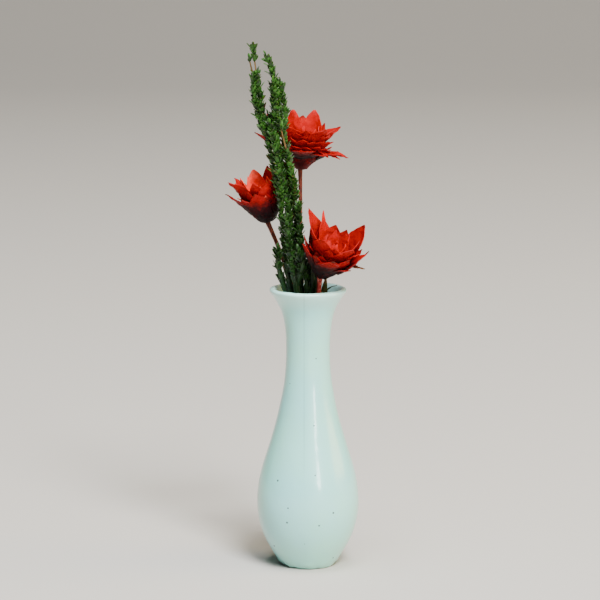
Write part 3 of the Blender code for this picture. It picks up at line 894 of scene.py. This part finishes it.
# %% [markdown]
# The stems took up some of the dye. They are brown-red, with paler ridges where the skin has split and
# shows the pith. The ridges run along the stem, so the pattern is stretched along Z, which every stem
# nearly follows.

# %% Stem materials
FIBRE_STRETCH = 0.14


def fibrous_material(name, stops, fibre_mm, roughness):
    material, shader = blank_material(
        name, stops[1][1], Roughness=roughness, IOR=1.45, Specular_IOR_Level=0.25)
    place = add(material, "ShaderNodeTexCoord").outputs["Object"]
    squeezed = add(material, "ShaderNodeMapping", {"Vector": place, "Scale": (1.0, 1.0, FIBRE_STRETCH)})
    fibres = add(material, "ShaderNodeTexNoise", {
        "Vector": squeezed.outputs[0], "Scale": 1 / (fibre_mm * MM), "Detail": 3.0,
    })
    join_to(material, ramp(material, fibres.outputs[0], stops), shader, "Base Color")
    ridges = add(material, "ShaderNodeBump", {
        "Height": fibres.outputs[0], "Strength": 0.7, "Distance": 0.05 * MM,
    })
    join_to(material, ridges.outputs[0], shader, "Normal")
    return material


STEM_BROWN = fibrous_material("dyed_stem_dried", [
    (0.32, "#30100A"), (0.48, "#4E1A10"), (0.62, "#6C2C1A"), (0.76, "#96604A"),
], 0.16, 0.65)
STEM_RED = fibrous_material("dyed_stem_split", [
    (0.32, "#4A0C0C"), (0.48, "#7A1C18"), (0.6, "#9A3A30"), (0.72, "#D0A498"),
], 0.16, 0.65)

print("two stem materials")

# %% [markdown]
# Each stem is straight in the neck and sways a little above it. Its radius swells and shrinks along the
# way, as a sum of two waves, and widens where it meets the cup.

# %% Stems
STEM_RADIUS = {"flower_left": 0.3, "flower_back": 0.27, "flower_right": 0.34}
SWAY = {"flower_left": (0.22, 0.0), "flower_back": (0.05, 0.1), "flower_right": (-0.08, 0.0)}
STEM_STEPS = 26
SWAYS_FROM = 0.55
INTO_CUP = 0.25
for flower_name, plan in FLOWERS.items():
    foot, top = Vector(plan["foot"]), Vector(plan["top"])
    sway = Vector((*SWAY[flower_name], 0))
    radius = STEM_RADIUS[flower_name]
    route = []
    for step in range(STEM_STEPS + 1):
        share = step / STEM_STEPS
        free = max(0.0, share - SWAYS_FROM) / (1 - SWAYS_FROM)
        route.append(foot.lerp(top, share) + sway * math.sin(math.pi * free))
    route.append(top + (top - foot).normalized() * INTO_CUP)
    radii = [radius * (1 + 0.06 * math.sin(2.1 * i) + 0.03 * math.sin(5.3 * i)) for i in range(STEM_STEPS)]
    radii += [radius * 1.25, radius * 1.45]
    stem = bar(f"{flower_name}_stem_wrinkled", route, radii, sides=4)
    stem.data.materials.append(STEM_RED if flower_name == "flower_right" else STEM_BROWN)
    finish_piece(stem, flower_name, "red_stem", f"{flower_name}_stem")
    print(stem.name, f"{(top - foot).length:.1f} mm")

# %% [markdown]
# ## The green sprigs
#
# The green is preserved foliage with leaves like small scales, set close in a spiral round a thin tan
# twig. The real leaves are about a millimetre long, so they are modelled once, as a flattened sphere
# bent a little outwards at its tip, and copied about two thousand times. A leaf keeps to a few dozen
# faces for that reason. Near the mouth of the vase the leaves are long and narrow.

# %% One scale leaf
let_go()
bpy.ops.mesh.primitive_uv_sphere_add(segments=6, ring_count=6, radius=1.0)
LEAF = bpy.context.object
LEAF.name = "scale_leaf_blank"
settle(LEAF, Matrix.Translation((0, 0, 0.5)) @ Matrix.Diagonal((0.24, 0.085, 0.5, 1)))
bpy.ops.object.mode_set(mode="EDIT")
# the heights between which each band of points lies, how much it widens, and how far it bends outwards
for low, high, widen, push in ((0.6, 0.85, 1.05, 0.0), (0.85, 0.97, 1.1, 0.03), (0.97, 1.1, 1.0, 0.05)):
    pick(lambda place: low <= place.z < high)
    bpy.ops.transform.resize(value=(widen, widen, 1), center_override=(0, 0, 0))
    bpy.ops.transform.translate(value=(0, push, 0))
bpy.ops.object.mode_set(mode="OBJECT")
print("leaf faces", len(LEAF.data.polygons))

# %% [markdown]
# Preserved leaves are dyed dark green and keep a slightly waxy sheen, so each one carries a small glint.
# They vary from blackish to olive in patches about as wide as a leaf, and low in the bunch they are
# darkened as painted shade. A leafy twig is dark green and a bare one tan, and both are fibrous along their
# length.

# %% Leaf and twig materials
LEAF_PATCH_MM = 0.8
# the bunch's painted shade is darkest up to the first height and gone from the second, in mm
SHADE_LOW, SHADE_HIGH = 39, 56
leaf_green, leaf_shader = blank_material(
    "preserved_leaf_waxy", "#204A0C", Roughness=0.4, IOR=1.45, Specular_IOR_Level=0.35)
leaf_place = add(leaf_green, "ShaderNodeTexCoord")
leaf_patch = add(leaf_green, "ShaderNodeTexNoise", {
    "Vector": leaf_place.outputs["Object"], "Scale": 1 / (LEAF_PATCH_MM * MM), "Detail": 2.0,
})
leaf_colour = ramp(leaf_green, leaf_patch.outputs[0], [
    (0.32, "#0C1E07"), (0.45, "#18360C"), (0.56, "#265014"), (0.68, "#3E6E2A"),
])
leaf_along = add(leaf_green, "ShaderNodeSeparateXYZ", {0: leaf_place.outputs["UV"]})
tip_only = add(leaf_green, "ShaderNodeMapRange", {
    "Value": leaf_along.outputs["Y"], "From Min": 0.75, "From Max": 1.0, "To Max": 0.5,
})
leaf_mixed = add(leaf_green, "ShaderNodeMix", {
    0: tip_only.outputs[0], 6: leaf_colour, 7: linear("#5C6E2C"),
}, data_type="RGBA")
leaf_height = add(leaf_green, "ShaderNodeSeparateXYZ", {0: leaf_place.outputs["Object"]})
shade = add(leaf_green, "ShaderNodeMapRange", {
    "Value": leaf_height.outputs["Z"], "From Min": SHADE_LOW * MM, "From Max": SHADE_HIGH * MM,
    "To Min": 0.85, "To Max": 0.0,
})
leaf_shaded = add(leaf_green, "ShaderNodeMix", {
    0: shade.outputs[0], 6: leaf_mixed.outputs[2], 7: linear("#061606"),
}, data_type="RGBA")
join_to(leaf_green, leaf_shaded.outputs[2], leaf_shader, "Base Color")
leaf_bump = add(leaf_green, "ShaderNodeBump", {
    "Height": leaf_patch.outputs[0], "Strength": 0.4, "Distance": 0.05 * MM,
})
join_to(leaf_green, leaf_bump.outputs[0], leaf_shader, "Normal")

TWIG_GREEN = fibrous_material("leafy_twig_bark", [
    (0.3, "#0E1406"), (0.48, "#1E280E"), (0.6, "#2E3818"), (0.74, "#464A26"),
], 0.2, 0.75)
TWIG_BARK = fibrous_material("dry_twig_bark", [
    (0.3, "#241C0A"), (0.48, "#4A3818"), (0.6, "#6E5430"), (0.74, "#94764A"),
], 0.2, 0.75)
print("leaf and twig materials")

# %% [markdown]
# Each sprig follows the CAD sprig's own line: it stands straight in the neck and then bends with its
# shoots. A few short shoots are added, to fill out the bunch. Leaves are set along each shoot at the
# golden angle, as many plants place them, and each one is leaned and sized a little differently.

# %% Sprig layout
NECK_LOW, NECK_HIGH = 27.0, 34.5
SPRIGS = {
    "sprig_tall_left": [
        [(-1.1, -.75), (-2.5, -.8, 40.5), (-3.4, -1.2, 47), (-3.9, -1.3, 52.6), (-4.8, -1.0, 57),
         (-5.6, -.6, 61.2), (-6.3, -.4, 64.6), (-6.8, -.4, 67.8), (-7.3, -.4, 71), (-7.7, -.4, 74.2)],
        [(-3.9, -1.3, 52), (-3.9, -1.9, 55.5), (-4.5, -1.8, 59.5), (-5.3, -1.4, 63.5)],
        [(-6.9, -.4, 68.5), (-7.7, -.4, 70.4), (-8.2, -.4, 72.4)],
        [(-6.0, -.6, 61.6), (-6.9, -.8, 64.6), (-7.5, -.9, 67.2), (-7.6, -.9, 69.2), (-7.2, -.8, 70.8)],
    ],
    "sprig_tall_right": [
        [(-.25, -.4), (-.8, -.3, 40), (-1.5, -.1, 47), (-2.1, -.1, 52.6), (-2.7, -.3, 57),
         (-3.3, -.4, 61.2), (-4.0, -.4, 65), (-4.5, -.4, 68.8), (-5.2, -.4, 71.4), (-5.8, -.4, 73)],
        [(-2.05, -.1, 52), (-1.9, -1.3, 54.5), (-2.6, -1.6, 58), (-3.6, -1.4, 62), (-4.6, -1.0, 66)],
        [(-3.5, -.4, 62.4), (-3.2, -.1, 64.4), (-3.5, 0, 66.8), (-3.8, 0, 69)],
        [(-4.1, -.9, 62.5), (-4.7, -1.0, 65), (-4.9, -1.0, 67.6), (-5.0, -1.0, 69.4)],
    ],
    "sprig_middle": [
        [(-.8, -.25), (-1.6, 0, 40), (-2.5, .6, 47), (-2.7, 1.2, 52.6), (-3.6, 1.1, 57), (-4.9, .6, 61),
         (-5.5, .5, 64.4)],
        [(-2.7, 1.2, 52.6), (-2.3, 1.4, 56), (-3.4, 1.2, 60)],
        [(-1.9, -.3, 44), (-2.3, -.8, 48), (-2.9, -.9, 52), (-3.7, -.9, 57), (-4.3, -.7, 61),
         (-4.7, -.6, 64.5)],
    ],
    "sprig_right": [
        [(-.2, -1.1), (-.2, -1.25, 40), (-.75, -1.65, 45), (-1.2, -1.65, 49.2), (-1.35, -1.7, 51.9)],
        [(-.15, -1.2, 41), (.1, -.6, 43), (-.2, -.7, 45.5)],
        [(-.1, -1.0, 35.5), (.35, -1.1, 38), (.5, -1.1, 40), (.55, -1.1, 41.6)],
        [(.1, -.8, 35.5), (.8, -.8, 37.6), (1.05, -.8, 39.4), (1.1, -.8, 41.0)],
    ],
    "sprig_left": [[(-1.4, -.3), (-3.1, -.5, 39.6), (-4.0, -1.2, 43), (-4.3, -1.7, 46)]],
    "sprig_front": [
        [(-.7, -1.35), (-1.5, -1.9, 39.5), (-2.2, -2.2, 43), (-2.8, -2.4, 47.5), (-3.0, -2.4, 50.5)],
        [(-1.6, -1.95, 40), (-1.15, -2.6, 42.6), (-1.45, -2.8, 46)],
    ],
}
TWIG_RADIUS, TWIG_TAPER = 0.19, 0.09
LEAF_STEP = 0.3
LEAVES_PER_STEP = 3
CLUMP_EVERY = 1.7
LEAVES_FROM, LEAVES_FULL = 36.4, 43.0
# heights between which a shoot has lost its leaves
BARE = {
    ("sprig_tall_left", 0): [(70.2, 72.1)], ("sprig_tall_left", 2): [(69.4, 72.0)],
    ("sprig_tall_right", 1): [(59.6, 62.4)],
}


def strand_points(strand):
    if len(strand[0]) == 2:
        x, y = strand[0]
        strand = [(x, y, NECK_LOW), (x, y, (NECK_LOW + NECK_HIGH) / 2), (x, y, NECK_HIGH), *strand[1:]]
    return smooth_path(strand, LEAF_STEP)


def leaf_at(place, along, turn, lean, size):
    """A leaf whose foot is at place, on the side of the twig that turn says, leaning out from its line."""
    frame_turn = Vector((0, 0, 1)).rotation_difference(along).to_matrix().to_4x4()
    return (Matrix.Translation(place) @ frame_turn @ Matrix.Rotation(math.radians(turn), 4, "Z")
            @ Matrix.Translation((0, 0.1, 0)) @ Matrix.Rotation(-math.radians(lean), 4, "X") @ size)


leaf_count = 0
for sprig_name, strands in SPRIGS.items():
    parts = []
    for number, strand in enumerate(strands):
        bare = BARE.get((sprig_name, number), [])
        points = strand_points(strand)
        count = len(points)
        radii = [TWIG_RADIUS - TWIG_TAPER * i / count for i in range(count)]
        parts.append(bar(f"{sprig_name}_twig", points, radii, sides=1))
        parts[-1].data.materials.append(TWIG_BARK if bare else TWIG_GREEN)
        turn = chance.uniform(0, 360)
        for i in range(LEAVES_PER_STEP * (count - 1)):
            turn += GOLDEN_ANGLE
            before, share = divmod(i, LEAVES_PER_STEP)
            place = points[before].lerp(points[before + 1], share / LEAVES_PER_STEP)
            if place.z < LEAVES_FROM or any(low < place.z < high for low, high in bare):
                continue
            along = (points[before + 1] - points[before]).normalized()
            blade = place.z < LEAVES_FULL - chance.uniform(0, 2.5)
            clump = 1 + 0.35 * math.sin(2 * math.pi * place.z / CLUMP_EVERY + number)
            length = chance.uniform(2.2, 3.6) if blade else chance.uniform(0.75, 1.1) * clump
            lean = chance.uniform(2, 9) if blade else chance.uniform(20, 46)
            width = chance.uniform(0.5, 0.8) if blade else chance.uniform(1.05, 1.45)
            size = Matrix.Diagonal((width, 1, length, 1))
            leaf = copy_of(LEAF, "leaf", leaf_at(place, along, turn, lean, size))
            leaf.data.materials.append(leaf_green)
            parts.append(leaf)
            leaf_count += 1
        bud = copy_of(LEAF, "bud", leaf_at(points[-1], along, turn, 0, Matrix.Diagonal((1, 1.6, 1.0, 1))))
        bud.data.materials.append(leaf_green)
        parts.append(bud)
    sprig = joined(parts, f"{sprig_name}_leafy")
    finish_piece(sprig, "green_sprigs", "green_sprig", sprig_name)
    print(sprig.name, len(sprig.data.polygons), "faces")
print(leaf_count, "leaves")

# %% [markdown]
# One small leaf stays on the right flower's stem. It has dried green at its foot and brown at its tip,
# with one lobe curled over and one upright, so it is two petal blanks with its own colours.

# %% Dry leaf
LEAF_DRY = petal_material("curled_leaf_dried", [
    (0.0, "#0C1806"), (0.4, "#16280A"), (0.65, "#2E3212"), (1.0, "#4A3012"),
], 0.6)
LEAF_FOOT = Matrix.Translation((1.87, -2.0, 36.6))
BLADE_LEAN = Matrix.Rotation(math.radians(7), 4, "Y")
curl = bent_petal("curl", "narrow", 5.3, 0.36, -20, 74, LEAF_DRY, LEAF_DRY, cup=100)
blade = bent_petal("blade", "pointed", 5.8, 0.6, 2, 4, LEAF_DRY, LEAF_DRY, cup=80)
lobes = [seated(curl, 0.05, 0.0, 0, LEAF_FOOT), seated(blade, 0.0, 0.0, 270, LEAF_FOOT @ BLADE_LEAN)]
dry_leaf = joined(lobes, "flower_right_leaf_curled")
finish_piece(dry_leaf, "flower_right", "dry_leaf", "flower_right_leaf")
print("dry leaf", tuple(round(side * 1000, 1) for side in dry_leaf.dimensions), "mm")

# %% [markdown]
# ## Closing
#
# The blanks have done their work and go.

# %% Sizes and finish
for blank in [LEAF, *BLANKS.values()]:
    bpy.data.objects.remove(blank)
visual_box = [list(corner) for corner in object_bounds()]
for name, box in (("cad", cad_box), ("visual", visual_box)):
    print(name, [[round(value * 1000, 2) for value in corner] for corner in box])
